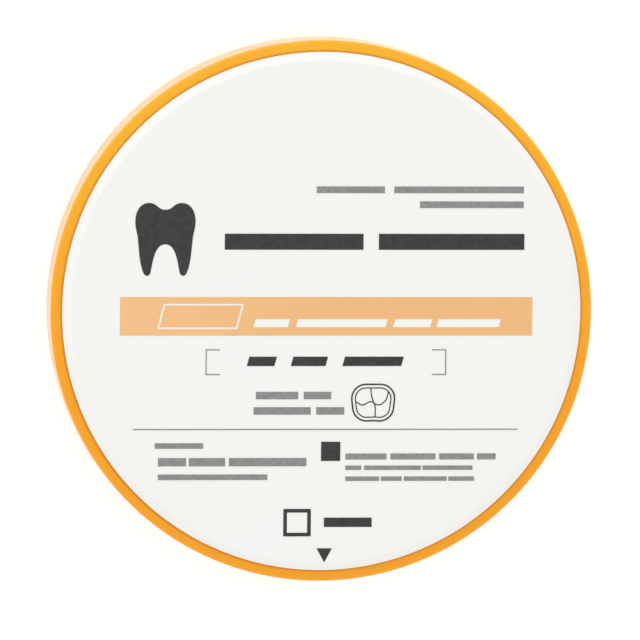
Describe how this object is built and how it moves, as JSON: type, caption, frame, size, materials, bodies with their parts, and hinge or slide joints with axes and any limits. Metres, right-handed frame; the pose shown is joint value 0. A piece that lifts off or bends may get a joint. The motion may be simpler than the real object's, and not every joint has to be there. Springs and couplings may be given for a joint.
{
  "type": "dental milling disc",
  "caption": "Round white ceramic milling blank with bevelled faces, bonded into a lower orange plastic collar, its front printed with a peach band, plain bars, outlines and an arrowhead.",
  "frame": {"origin": "centre of the blank's back face, on which the disc lies", "axes": "+Z is the disc's axis, from the back face to the printed face; +Y is towards the top of the print; +X is to the print's right"},
  "size_m": [0.0984, 0.0984, 0.0141],
  "materials": {
    "zirconia": "matte",
    "collar_plastic": "satin",
    "adhesive": "satin",
    "peach_ink": "matte",
    "dark_ink": "matte",
    "grey_ink": "matte"
  },
  "bodies": {
    "root": {"zirconia_blank": "zirconia", "collar_ring": "collar_plastic", "adhesive_film": "adhesive", "peach_print": "peach_ink", "dark_print": "dark_ink", "grey_print": "grey_ink"}
  },
  "joints": []
}
